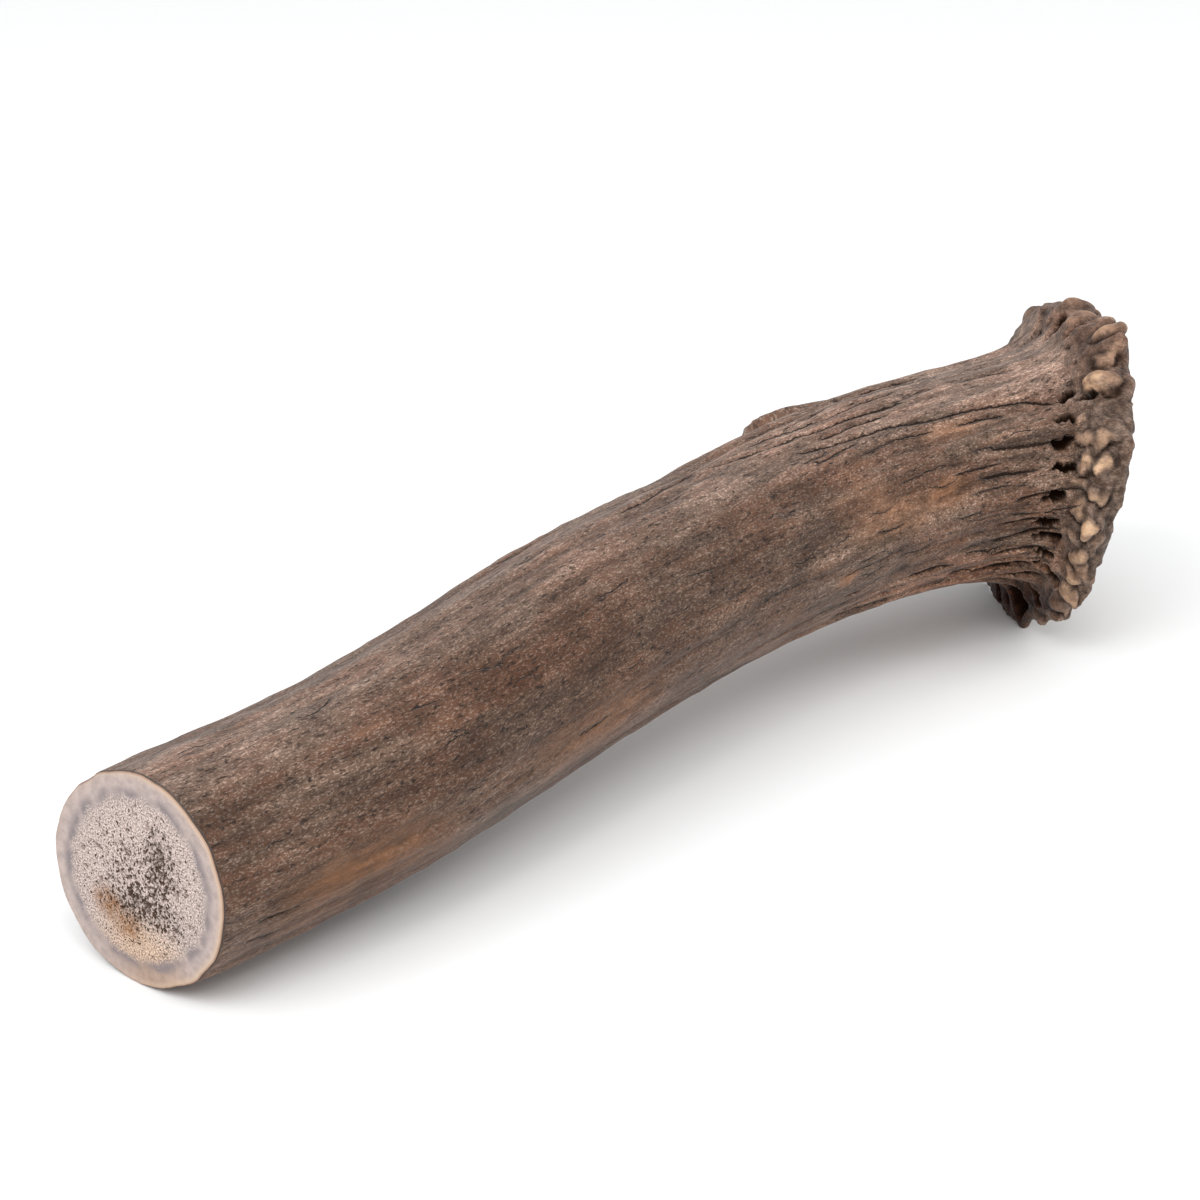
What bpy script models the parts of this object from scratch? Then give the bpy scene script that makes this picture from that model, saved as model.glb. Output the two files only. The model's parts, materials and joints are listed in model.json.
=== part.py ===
"""The lower end of a shed deer antler, sawn off square and lying on a flat surface.

One solid: a bent, ridged beam that flares into the burr, the knobbed ring at the base of the
antler. Behind the burr is the rough dome where it sat on the skull. A brow tine is sawn off
close to the beam, on the outer side of the bend. Lengths are in millimetres until the mesh is
made. +X runs from the sawn end to the burr, and the bend bulges level towards +Y. An angle
round the beam starts at its top and grows towards -Y, the inner side of the bend.
"""

import math

import bpy
import numpy as np

MM = 0.001

# The middle of the beam and its mean radius: x, y, z, radius.
STATIONS = np.array(
    (
        (0.0, 0.0, 16.5, 17.9),
        (42.0, 0.0, 19.6, 18.3),
        (83.5, 5.2, 23.9, 18.9),
        (124.0, 9.2, 27.0, 18.9),
        (167.5, 9.6, 29.6, 20.1),
        (207.5, 0.0, 30.7, 22.9),
    )
)
BEAM_LENGTH = STATIONS[-1, 0]
OVALITY = 0.08
OVAL_ANGLE = 60.0

# Which way the sections face, in degrees of heading from +X towards +Y and of pitch upwards.
# Between the ends they face along the beam. Behind the burr's front both angles change by
# BACK_TURN in each millimetre.
CUT_FACING = (3.0, 0.2)
CUT_REACH = 30.0
BURR_FACING = (-34.3, -6.5)
BURR_REACH = 60.0
BACK_TURN = (-0.05, -0.6)

# The burr in outline: distance along the beam past its last station, and how far out of the
# beam's radius the surface has come, as a share of the way to the rim.
RIM_RADIUS = 29.5
BURR_OUTLINE = (
    (-12.0, 0.0),
    (-8.5, 0.04),
    (-6.0, 0.1),
    (-4.0, 0.18),
    (-2.2, 0.32),
    (-0.8, 0.55),
    (0.4, 0.8),
    (1.8, 0.95),
    (2.9, 1.0),
    (4.1, 1.02),
    (5.4, 1.0),
    (6.5, 0.9),
    (7.2, 0.7),
    (7.4, 0.45),
)
# The base inside the rim: distance past the last station and share of the rim's radius.
SEAL_OUTLINE = (
    (7.1, 0.8),
    (6.8, 0.73),
    (7.5, 0.66),
    (8.8, 0.55),
    (10.0, 0.38),
    (10.8, 0.2),
)
SEAL_HEIGHT = 11.2

# Knobs round the burr: angle, height, distance past the last station, width.
KNOBS = (
    (-6, 2.2, 2.5, 3.0),
    (14, 3.0, 4.5, 2.8),
    (29, 2.8, 4.5, 2.8),
    (43, 2.0, 2.5, 3.2),
    (63, 1.4, 2.0, 2.6),
    (80, 1.3, 1.5, 2.4),
    (95, 2.0, 1.0, 3.0),
    (107, 1.4, 1.5, 2.4),
    (117, 1.6, 2.0, 2.2),
    (127, 2.4, 3.5, 2.4),
    (139, 3.2, 4.0, 2.6),
    (153, 2.6, 4.0, 2.8),
    (168, 1.8, 0.0, 3.0),
    (183, 2.2, 2.5, 3.0),
    (196, 2.5, 0.5, 3.0),
    (209, 6.4, 2.0, 4.4),
    (229, 1.6, 2.0, 3.0),
    (245, 1.6, 3.0, 2.6),
    (260, 1.2, 1.5, 2.6),
    (275, 1.6, 3.5, 3.0),
    (291, 1.8, 2.0, 2.6),
    (307, 2.6, 2.5, 3.0),
    (322, 2.6, 1.0, 2.6),
    (338, 2.6, -0.5, 3.2),
)
KNOB_LENGTH = 3.4

# Ridges along the beam: how many go round, height near the burr, turn at the start.
RIDGES = ((13, 0.45, 0.4), (17, 0.35, 2.1), (9, 0.3, 4.0), (5, 0.3, 1.2))
RIDGE_DRIFT = 0.6
RIDGE_DRIFT_LENGTH = 40.0
RIDGE_SHARE_AT_CUT = 0.25
RIDGE_RISE = (90.0, 200.0)

# The sawn-off brow tine: a flat oval face that looks out and up from the far side.
STUMP_X = 176.0
STUMP_ANGLE = 286.0
STUMP_HALF_LENGTH = 16.0
STUMP_HALF_WIDTH = 8.5
STUMP_HEIGHT = 20.8
STUMP_SQUARENESS = 3.0
STUMP_FLANK = 0.2

COLUMNS = 72
PLAIN_STEP = 6.5
FINE_STEP = 2.8
FINE_FROM = 134.0
SHARP_EDGE = 50.0


def smooth_curve(places, values):
    """The natural cubic spline through values at places, as a function."""
    gaps = np.diff(places)
    slopes = np.diff(values, axis=0) / gaps[:, None]
    system = np.eye(len(places))
    load = np.zeros_like(values)
    for i in range(1, len(places) - 1):
        system[i, i - 1 : i + 2] = gaps[i - 1], 2 * (gaps[i - 1] + gaps[i]), gaps[i]
        load[i] = 6 * (slopes[i] - slopes[i - 1])
    bends = np.linalg.solve(system, load)

    def at(place):
        """The value and the slope at one place."""
        i = int(np.clip(np.searchsorted(places, place) - 1, 0, len(gaps) - 1))
        before, after = place - places[i], places[i + 1] - place
        low = values[i] / gaps[i] - bends[i] * gaps[i] / 6
        high = values[i + 1] / gaps[i] - bends[i + 1] * gaps[i] / 6
        cubic = (bends[i] * after**3 + bends[i + 1] * before**3) / (6 * gaps[i])
        turn = (bends[i + 1] * before**2 - bends[i] * after**2) / (2 * gaps[i])
        return cubic + low * after + high * before, turn + high - low

    return at


BEAM = smooth_curve(STATIONS[:, 0], STATIONS[:, 1:])


def eased(low, high, value):
    """0 below low, 1 above high, and a smooth step between them."""
    share = np.clip((value - low) / (high - low), 0, 1)
    return share * share * (3 - 2 * share)


def facing(heading, pitch):
    """The unit vector of a heading and a pitch in degrees."""
    turn, rise = math.radians(heading), math.radians(pitch)
    level = math.cos(rise)
    return np.array((level * math.cos(turn), level * math.sin(turn), math.sin(rise)))


def section(x):
    """The section at x: its middle, the way it faces, its up and -Y sides, the beam's radius.

    Past the last station the middle runs on along the burr's own axis.
    """
    past = max(x - BEAM_LENGTH, 0)
    value, slope = BEAM(min(x, BEAM_LENGTH))
    along = np.array((1.0, slope[0], slope[1]))
    along /= np.linalg.norm(along)
    burr = facing(*(np.array(BURR_FACING) + past * np.array(BACK_TURN)))
    at_cut = 1 - eased(0, CUT_REACH, x)
    at_burr = eased(BEAM_LENGTH - BURR_REACH, BEAM_LENGTH, x)
    forward = along + at_cut * (facing(*CUT_FACING) - along) + at_burr * (burr - along)
    forward /= np.linalg.norm(forward)
    up = np.array((0.0, 0.0, 1.0)) - forward * forward[2]
    up /= np.linalg.norm(up)
    middle = np.array((min(x, BEAM_LENGTH), value[0], value[1]))
    middle += past * facing(*BURR_FACING)
    return middle, forward, up, np.cross(forward, up), value[2]


def ring(x, angles, radii):
    """Points round the section at x."""
    middle, _, up, side, _ = section(x)
    out = np.outer(np.cos(angles), up) + np.outer(np.sin(angles), side)
    return middle + radii[:, None] * out


def ridges(x, angles):
    """How far the ridges stand out, which is less towards the sawn end."""
    share = RIDGE_SHARE_AT_CUT + (1 - RIDGE_SHARE_AT_CUT) * eased(*RIDGE_RISE, x)
    height = np.zeros_like(angles)
    for count, tall, start in RIDGES:
        drift = RIDGE_DRIFT * math.sin(start + x / RIDGE_DRIFT_LENGTH)
        height += tall * share * np.cos(count * angles + start + drift)
    return height


def beam_radii(x, angles):
    oval = 1 + OVALITY * np.cos(2 * (angles - math.radians(OVAL_ANGLE)))
    return section(x)[4] * oval + ridges(x, angles)


def knobs(past, angles):
    """How far the knobs stand out of the rim."""
    height = np.zeros_like(angles)
    for angle, tall, place, width in KNOBS:
        turn = (angles - math.radians(angle) + math.pi) % (2 * math.pi) - math.pi
        across = RIM_RADIUS * turn / width
        along = (past - place) / KNOB_LENGTH
        height += tall * np.exp(-(across**2) - along**2)
    return height


def burr_radii(past, share, angles):
    beam = beam_radii(BEAM_LENGTH + min(past, 0), angles)
    return beam * (1 - share) + (RIM_RADIUS + knobs(past, angles)) * share


def with_stump(points, x, angles):
    """Draws the points near the brow tine out to its sawn face, a plane across its axis."""
    middle, forward, up, side, _ = section(STUMP_X)
    turn = math.radians(STUMP_ANGLE)
    out = math.cos(turn) * up + math.sin(turn) * side
    across = np.cross(out, forward)
    place = points - middle
    along_share = abs(place @ forward) / STUMP_HALF_LENGTH
    across_share = abs(place @ across) / STUMP_HALF_WIDTH
    power = STUMP_SQUARENESS
    reach = (along_share**power + across_share**power) ** (1 / power)
    near = (place @ out) > 0
    cover = near * (1 - eased(1, 1 + STUMP_FLANK, reach))
    lift = np.maximum(STUMP_HEIGHT - place @ out, 0) * cover
    return points + lift[:, None] * out


def rows(angles):
    """The rings of points from the rim of the sawn face to the dome at the base."""
    plain = np.linspace(0, FINE_FROM, round(FINE_FROM / PLAIN_STEP) + 1)
    fine_end = BEAM_LENGTH + BURR_OUTLINE[0][0]
    fine = np.linspace(FINE_FROM, fine_end, round((fine_end - FINE_FROM) / FINE_STEP) + 1)
    for x in (*plain, *fine[1:]):
        yield with_stump(ring(x, angles, beam_radii(x, angles)), x, angles)
    for past, share in BURR_OUTLINE[1:]:
        x = BEAM_LENGTH + past
        yield with_stump(ring(x, angles, burr_radii(past, share, angles)), x, angles)
    for past, share in SEAL_OUTLINE:
        yield ring(BEAM_LENGTH + past, angles, np.full(COLUMNS, RIM_RADIUS * share))


def antler_mesh():
    """Points and faces of the whole antler, standing on z = 0 and centred over the origin."""
    angles = np.arange(COLUMNS) * 2 * math.pi / COLUMNS
    found = list(rows(angles))
    start = section(0)[0]
    end = section(BEAM_LENGTH + SEAL_HEIGHT)[0]
    rings = [(start + found[0]) / 2, *found]
    points = np.vstack((start, *rings, end))
    faces = []
    last = len(points) - 1
    for j in range(COLUMNS):
        k = (j + 1) % COLUMNS
        faces.append((0, 1 + k, 1 + j))
        for row in range(len(rings) - 1):
            low = 1 + row * COLUMNS
            high = low + COLUMNS
            faces.append((low + j, low + k, high + k, high + j))
        faces.append((last - COLUMNS + j, last - COLUMNS + k, last))
    low, high = points.min(axis=0), points.max(axis=0)
    shift = np.array(((low[0] + high[0]) / 2, (low[1] + high[1]) / 2, low[2]))
    return (points - shift) * MM, faces


def bone_material():
    """Weathered grey-brown antler."""
    material = bpy.data.materials.new("antler")
    material.use_nodes = True
    shader = material.node_tree.nodes["Principled BSDF"]
    shader.inputs["Base Color"].default_value = (0.22, 0.155, 0.115, 1)
    shader.inputs["Roughness"].default_value = 0.7
    shader.inputs["Metallic"].default_value = 0
    return material


def main():
    for old in list(bpy.data.objects):
        bpy.data.objects.remove(old, do_unlink=True)
    points, faces = antler_mesh()
    mesh = bpy.data.meshes.new("antler")
    mesh.from_pydata(points.tolist(), [], faces)
    mesh.update()
    mesh.shade_smooth()
    mesh.set_sharp_from_angle(angle=math.radians(SHARP_EDGE))
    mesh.materials.append(bone_material())
    bpy.context.scene.collection.objects.link(bpy.data.objects.new("antler", mesh))


main()
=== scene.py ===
"""The sawn-off lower end of a shed deer antler, lying on a white floor in soft studio light.

One closed mesh stands for the CAD node "antler". Its rings follow the CAD part's beam, burr and
seal, and carry the fine surface: ridges and furrows along the grain, pits and cobbled knobs round
the burr, the sawn stub of the brow tine, and the spongy core of the sawn face. Lengths are in
millimetres until the mesh is made, and colours are linear. An angle round the beam starts at its
top and grows towards -Y, as in the CAD part. "Past" is a distance past the beam's last station.
"""

import json
import math

import bpy
import numpy as np
from mathutils import Matrix, Vector


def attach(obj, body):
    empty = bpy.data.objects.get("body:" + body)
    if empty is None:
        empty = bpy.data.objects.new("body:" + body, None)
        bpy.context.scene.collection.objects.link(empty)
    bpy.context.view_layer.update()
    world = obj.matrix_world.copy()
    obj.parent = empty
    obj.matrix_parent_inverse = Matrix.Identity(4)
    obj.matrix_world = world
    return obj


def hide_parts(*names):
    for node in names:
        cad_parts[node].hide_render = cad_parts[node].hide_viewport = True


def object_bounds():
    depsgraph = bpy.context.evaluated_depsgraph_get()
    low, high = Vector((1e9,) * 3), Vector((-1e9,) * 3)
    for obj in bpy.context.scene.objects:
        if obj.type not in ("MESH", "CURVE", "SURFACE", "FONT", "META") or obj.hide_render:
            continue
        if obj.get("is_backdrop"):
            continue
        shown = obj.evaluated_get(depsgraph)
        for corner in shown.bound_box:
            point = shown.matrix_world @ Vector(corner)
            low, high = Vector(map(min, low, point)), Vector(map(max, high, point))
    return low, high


MM = 0.001
TAU = 2 * math.pi
# The seed of all that is placed by chance, and what is added to it for each kind.
SEED = 11
CRACK_DRAW, PIT_DRAW, COBBLE_DRAW, PORE_DRAW = 10, 20, 30, 60

# --- The CAD part's driving dimensions ---

# The middle of the beam and its mean radius: x, y, z, radius.
STATIONS = np.array(
    (
        (0.0, 0.0, 16.5, 17.9),
        (42.0, 0.0, 19.6, 18.3),
        (83.5, 5.2, 23.9, 18.9),
        (124.0, 9.2, 27.0, 18.9),
        (167.5, 9.6, 29.6, 20.1),
        (207.5, 0.0, 30.7, 22.9),
    )
)
BEAM_LENGTH = STATIONS[-1, 0]
OVALITY = 0.08
OVAL_ANGLE = 60.0

# Which way the sections face: heading from +X towards +Y, and pitch upwards, in degrees.
CUT_FACING = (3.0, 0.2)
CUT_REACH = 30.0
BURR_FACING = (-34.3, -6.5)
BURR_REACH = 60.0
# How the facing turns for each millimetre past the beam.
BACK_TURN = (-0.05, -0.6)

# The burr in outline: distance past the beam, and share of the way out to the rim.
RIM_RADIUS = 29.5
BURR_OUTLINE = (
    (-12.0, 0.0),
    (-8.5, 0.04),
    (-6.0, 0.1),
    (-4.0, 0.18),
    (-2.2, 0.32),
    (-0.8, 0.55),
    (0.4, 0.8),
    (1.8, 0.95),
    (2.9, 1.0),
    (4.1, 1.02),
    (5.4, 1.0),
    (6.5, 0.9),
    (7.2, 0.7),
    (7.4, 0.45),
)
# The seal in outline: distance past the beam, and share of the rim's radius.
SEAL_OUTLINE = (
    (7.1, 0.8),
    (6.8, 0.73),
    (7.5, 0.66),
    (8.8, 0.55),
    (10.0, 0.38),
    (10.8, 0.2),
    (11.2, 0.02),
)

# Knobs round the burr: angle, height, distance past the beam, width.
KNOBS = (
    (-6, 2.2, 2.5, 3.0),
    (14, 3.0, 4.5, 2.8),
    (29, 2.8, 4.5, 2.8),
    (43, 2.0, 2.5, 3.2),
    (63, 1.4, 2.0, 2.6),
    (80, 1.3, 1.5, 2.4),
    (95, 2.0, 1.0, 3.0),
    (107, 1.4, 1.5, 2.4),
    (117, 1.6, 2.0, 2.2),
    (127, 2.4, 3.5, 2.4),
    (139, 3.2, 4.0, 2.6),
    (153, 2.6, 4.0, 2.8),
    (168, 1.8, 0.0, 3.0),
    (183, 2.2, 2.5, 3.0),
    (196, 2.5, 0.5, 3.0),
    (209, 6.4, 2.0, 4.4),
    (229, 1.6, 2.0, 3.0),
    (245, 1.6, 3.0, 2.6),
    (260, 1.2, 1.5, 2.6),
    (275, 1.6, 3.5, 3.0),
    (291, 1.8, 2.0, 2.6),
    (307, 2.6, 2.5, 3.0),
    (322, 2.6, 1.0, 2.6),
    (338, 2.6, -0.5, 3.2),
)
KNOB_LENGTH = 3.4

# Ridges along the beam: how many go round, height near the burr, turn at the start.
RIDGES = ((13, 0.45, 0.4), (17, 0.35, 2.1), (9, 0.3, 4.0), (5, 0.3, 1.2))
RIDGE_DRIFT = 0.6
RIDGE_DRIFT_LENGTH = 40.0
RIDGE_SHARE_AT_CUT = 0.25
RIDGE_RISE = (90.0, 200.0)

# --- The visual model's own shape ---

# The sawn-off brow tine: a flat oval face that looks out and up from the far side. It leans and
# reaches further towards the cut than the CAD part's.
STUMP_X = 172.4
STUMP_ANGLE = 286.0
STUMP_HALF_LENGTH = 19.6
STUMP_HALF_WIDTH = 8.5
STUMP_HEIGHT = 20.4
STUMP_SQUARENESS = 3.0
STUMP_FLANK = 0.14
STUMP_TILT = 0.06
# The skin's faces are sawn antler where the stump covers this much of them.
STUMP_FACE_COVER = 0.97
# The stump's pattern lies this far from the cut's, and its core starts sooner.
STUMP_PATTERN_SHIFT = 40.0
STUMP_CORE_SCALE = 1.25

# Lumps on the burr, laid out as the CAD part's knobs are. One below zero lowers a knob.
REAR_LUMPS = (
    (12, -1.9, 5.0, 2.8),
    (24, 2.8, 6.5, 4.0),
    (41, 1.2, 7.0, 4.0),
    (66, 2.4, 7.0, 4.5),
    (82, 1.6, 7.0, 3.5),
    (118, 1.7, 7.0, 3.0),
    (125, 0.8, 5.0, 2.6),
    (133, 1.0, 6.5, 3.0),
    (140, -0.8, 3.0, 2.6),
    (152, -1.8, 3.0, 3.0),
    (170, 3.2, 0.0, 3.0),
    (181, 1.6, 0.0, 3.0),
    (190, 3.4, -0.5, 3.2),
    (201, 3.6, -1.8, 3.6),
    (222, 2.8, 0.0, 3.6),
    (250, 1.0, 5.0, 3.0),
    (300, 1.2, 5.0, 3.5),
    (317, 0.6, 0.0, 3.6),
    (340, -0.6, 1.0, 3.5),
    (354, -1.2, 2.4, 4.0),
)
# The sawn end bulges a little towards the far side: height, angle, and where it has gone.
CUT_BULGE = (0.9, 250.0, 40.0)
# Towards the cut's rim the ridges and the fine relief die down: the share left, and the rise.
RIDGE_SHARE_AT_RIM = 0.4
RIM_RIDGE_RISE = (0.0, 25.0)
RELIEF_SHARE_AT_RIM = 0.45
RIM_RELIEF_RISE = (0.0, 9.0)
# The rim of the cut in outline: distance behind the cut, and inset.
BEVEL = ((0.45, 0.0), (0.15, 0.12), (0.0, 0.4))
# Nothing comes nearer to the floor than this.
FLOOR_GAP = 0.02

# How many points go round, and how far apart the rings are.
COLUMNS = 380
PLAIN_STEP = 2.0
FINE_FROM = 150.0
FINE_STEP = 1.1
FLARE_STEP = 0.3
SEAL_STEP = 1.1
FACE_STEP = 0.44

# --- The fine surface ---

# Noise over the skin: height, length of a cell, how many cells go round, and its random draw.
FURROW_SWAY = (0.12, 38, 5, 0)
SOFT_RIDGES = (0.3, 26, 34, 6)
CRACK_WANDER = (0.35, 5, 60, 5)
PIT_WARP = ((0.5, 1.3, 100, 21), (0.3, 0.7, 180, 22))
PIT_PULL = (0.9, 1.5, 90, 23)
COBBLE_WARP = ((1.0, 1.7, 95, 31), (1.0, 1.7, 95, 32))
BARK_LUMPS = ((0.16, 24, 9, 40), (0.1, 9, 30, 41), (0.05, 4, 150, 42), (0.12, 3.0, 45, 48))
BURR_GRIT = (0.16, 0.9, 190, 43)
BURR_BILLOWS = ((0.5, 2.6, 62, 46), (0.25, 1.3, 120, 47))
BILLOW_MIDDLE = 0.225
STUMP_WOBBLE = (0.05, 4, 40, 50)
# Nodules on the seal: height, size, and random draw.
NODULES = ((0.8, 2.8, 44), (0.5, 2.6, 49), (0.4, 6.0, 45))
NODULE_SINK = 0.24

# Furrows along the grain by chance: how many go round, length, depth, width as a noise level.
FURROWS = ((13, 80.0, 0.34, 0.3), (23, 50.0, 0.3, 0.25), (41, 30.0, 0.2, 0.28))
FURROW_SHARE_AT_CUT = 0.3
FURROW_RISE = (30.0, 170.0)
FURROW_SHARPNESS = 1.5
# The ground between the furrows stands this share of their depth higher.
FURROW_BANK = 0.25

# Drying cracks, listed one by one: half width, groove depth, then places along it as x and angle.
CRACKS = (
    (0.16, 0.35, (104, 0), (111, 2), (115, 1), (120, -1), (127, -3)),
    (0.17, 0.4, (129, 0), (136, 6), (147, 11), (153, 13)),
    (0.13, 0.3, (139, -1), (147, 3), (158, 8), (164, 6), (170, 7)),
    (0.17, 0.4, (142, 10), (151, 13), (160, 15), (175, 16)),
    (0.17, 0.45, (143, 22), (152, 27), (168, 32), (178, 36)),
    (0.2, 0.5, (176, 35), (188, 37), (196, 39), (204, 44)),
    (0.22, 0.55, (186, 58), (196, 61), (204, 63)),
    (0.3, 0.6, (184, 70), (198, 72)),
    (0.22, 0.6, (193, 84), (205, 84)),
    (0.2, 0.6, (189, 96), (205, 96)),
    (0.2, 0.7, (190, 107), (200, 104), (206, 102)),
    (0.22, 0.7, (190, 116), (206, 112)),
    (0.22, 0.8, (187, 125), (207, 120)),
    (0.24, 0.8, (188, 132), (201, 129), (207, 126)),
    (0.24, 0.9, (188, 140), (200, 136), (207, 133)),
    (0.24, 0.9, (190, 149), (208, 141)),
    (0.14, 0.2, (42, 40), (48, 43)),
    (0.13, 0.2, (57, 41), (62, 44)),
    (0.14, 0.2, (62, 40), (67, 42)),
    (0.12, 0.15, (62, 55), (66, 56)),
    (0.12, 0.15, (43, 55), (48, 59)),
    (0.1, 0.1, (55, 63), (58, 64)),
    (0.12, 0.15, (50, 17), (54, 22)),
    (0.2, 0.35, (6, 99), (12, 102), (16, 101)),
    (0.15, 0.25, (3, 108), (7, 111), (12, 114)),
    (0.12, 0.15, (44, 84), (49, 88)),
    (0.11, 0.1, (28, 39), (31, 40)),
    (0.11, 0.1, (44, 17), (47, 19)),
)
# Cracks by chance, all over and near the burr: how many, where they start, length, bend, half
# width, and groove depth in half widths.
CHANCE_CRACKS = (
    (90, (4, 190), (3, 11), 2.0, (0.06, 0.15), 1.4),
    (110, (140, 200), (6, 22), 1.5, (0.06, 0.17), 3.0),
)
# These end no further past the beam than this.
CRACKS_END = 2.0
# Every crack narrows over this length at its ends, and is looked for this far across it.
CRACK_TAPER = 2.5
CRACK_REACH = 1.6
GROOVE_WIDTH = 0.4
# The distance stored where no crack is near.
NO_CRACK = 9.0

# Pits where the beam meets the burr: past, angle, half length, half width, depth.
PITS = (
    (-2, 350, 1.0, 0.6, 0.9),
    (0, 1, 2.4, 1.6, 3.0),
    (2, 13, 2.2, 1.3, 2.8),
    (-0.5, 19, 0.7, 0.5, 0.8),
    (-0.5, 31, 0.8, 0.6, 0.8),
    (-2, 42, 1.6, 0.9, 2.0),
    (0.5, 47, 2.6, 0.8, 2.2),
    (-3, 53, 1.9, 1.1, 2.4),
    (-3.5, 63, 2.4, 1.1, 2.6),
    (-3, 73, 2.4, 0.9, 2.4),
    (-3.5, 86, 2.6, 1.2, 2.8),
    (-4.5, 99, 2.2, 0.9, 2.0),
    (-3, 107, 2.6, 1.2, 2.6),
    (-3, 116, 2.4, 0.9, 2.0),
    (-1, 126, 2.8, 1.3, 2.6),
    (0, 148, 3.0, 1.8, 3.0),
    (-0.5, 163, 3.4, 2.6, 3.2),
    (-1, 178, 3.0, 2.4, 3.0),
)
# Pits on the hidden side by chance: first angle, end and step, then their other sizes.
HIDDEN_PIT_ANGLES = (193, 300, 12.5)
HIDDEN_PIT_PAST = (-3.5, 0.5)
HIDDEN_PIT_STRAY = 3.0
HIDDEN_PIT_HALF_LENGTH = (2, 3)
HIDDEN_PIT_HALF_WIDTH = 1.2
HIDDEN_PIT_DEPTH = 2.4
# A pit is longer up the beam, where it tapers, and its wall lies between these shares of its size.
PIT_TAIL = 1.9
PIT_HEAD = 0.7
PIT_TAPER = 0.5
PIT_WALL = (0.4, 1.05)

# Cobbles on the burr: past, angle, half length, half width, height, polish.
COBBLES = (
    (2.5, 352, 2.4, 2.2, 0.8, 0.25),
    (3, 4, 2.2, 1.8, 0.9, 0.35),
    (1, 7, 1.6, 1.2, 0.9, 0.3),
    (5, 14, 2.0, 1.9, 0.7, 0.35),
    (4, 24, 2.5, 1.9, 1.2, 0.55),
    (3, 34, 2.3, 1.6, 1.2, 0.5),
    (1.5, 44, 3.4, 2.0, 1.4, 0.8),
    (-1.5, 55, 1.5, 1.2, 0.8, 0.25),
    (-0.5, 63, 2.1, 1.7, 0.9, 0.45),
    (1.5, 65, 2.1, 1.8, 0.8, 0.6),
    (-0.5, 73, 2.3, 2.0, 1.0, 0.75),
    (2, 73, 2.0, 1.8, 0.9, 0.95),
    (-1, 80, 1.7, 1.3, 0.7, 0.3),
    (1.5, 84, 2.8, 1.6, 0.8, 0.5),
    (-0.5, 90, 2.0, 1.8, 0.8, 0.5),
    (1, 96, 1.6, 2.5, 1.1, 1.0),
    (3, 100, 1.6, 1.6, 0.6, 0.3),
    (-1, 102, 1.5, 1.2, 0.8, 0.3),
    (1, 109, 1.8, 2.2, 0.9, 0.6),
    (3, 113, 1.5, 1.5, 0.6, 0.35),
    (1.5, 117, 1.8, 1.5, 0.9, 0.8),
    (-1, 119, 1.4, 1.1, 0.7, 0.3),
    (2.5, 125, 2.3, 1.9, 1.0, 0.65),
    (2, 134, 2.2, 1.8, 0.9, 0.45),
    (3, 143, 2.3, 1.9, 0.9, 0.35),
    (2.5, 156, 2.3, 2.0, 0.9, 0.25),
    (3, 170, 2.2, 2.0, 0.8, 0.2),
)
COBBLES_IN_ALL = 140
COBBLES_FROM = -2.0
# Cobbles by chance: half width, half length in half widths, and height. A crowded one is smaller.
LOOSE_HALF_WIDTH = (1.3, 2.8)
LOOSE_STRETCH = (0.9, 1.5)
LOOSE_HEIGHT = (0.2, 0.6)
CROWDED_SIZE = 0.55
CLEAR_SHARE = 0.62
RIM_MM_PER_DEGREE = 0.52
# A cobble's dome: its height, how sharply domes join, how deep they sit, and where it is polished.
DOME = 1.2
DOME_BLEND = 3.0
DOME_SINK = 0.35
DOME_POLISHED = (0.15, 1.1)
# The crease round a well-polished cobble: a groove, drawn dark with painted shadow. It is fainter on
# one side, and a dome hides it.
CREASED_POLISH = 0.4
CREASE_PLACE = 1.15
CREASE_WIDTH = 0.16
CREASE_DEPTH = 0.5
CREASE_HIDDEN = 0.5
CREASE_LIGHT_SIDE = 0.35
CREASE_SIDES = (-0.4, 0.5)
# How dark a millimetre of each kind of hollow is drawn: painted shade.
PIT_DARKNESS = 0.65
CREASE_DARKNESS = 0.6
GROOVE_DARKNESS = 0.5
# Hollows are told from crests by smoothing over this many rings on each side, in rounds.
CAVITY_ROWS = 3
CAVITY_ROUNDS = 3

# Large pores of the spongy core: how many are tried, how far out, and the share kept.
PORE_TRIES = 2600
PORE_SPREAD = 16.0
PORE_SHARE = 0.6
PORE_RADIUS = (0.25, 0.5)
PORE_DEPTH = 0.55
PORE_WALL = (0.4, 1.1)
# Where they crowd: share, place across and up the face, width, height.
PORE_CROWDS = ((0.75, 5.2, 4.6, 3.2, 4.2), (0.35, 0, -0.5, 8, 6.5), (0.25, 1, -5, 9, 2.6))
# Depths from the rim over which the pores begin.
PORES_FROM = (4.5, 6.5)
# The depth stored at the face's middle.
FACE_MIDDLE_DEPTH = 20

# --- Camera and light ---

CAMERA_FROM_CUT = (-207.0, -304.3, 188.8)
CAMERA_AZIMUTH = -44.56
CAMERA_ELEVATION = 21.85
CAMERA_ROLL = 0.16
CAMERA_LENS = 85.0

# Softboxes: place and power. All face the antler.
SOFTBOXES = {
    "front_left": ((-1.1, 0.0, 1.0), 9.1),
    "front": ((-0.7, -0.7, 1.2), 9.4),
    "right": ((0.9, -0.9, 1.0), 5.6),
    "back": ((0.6, 0.9, 1.1), 1.4),
}
SOFTBOX_SIZE = 1.0
ROOM_STRENGTH = 0.76
FLOOR_WHITE = (0.855, 0.861, 0.865, 1)
FLOOR_HALF = 4.0


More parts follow.
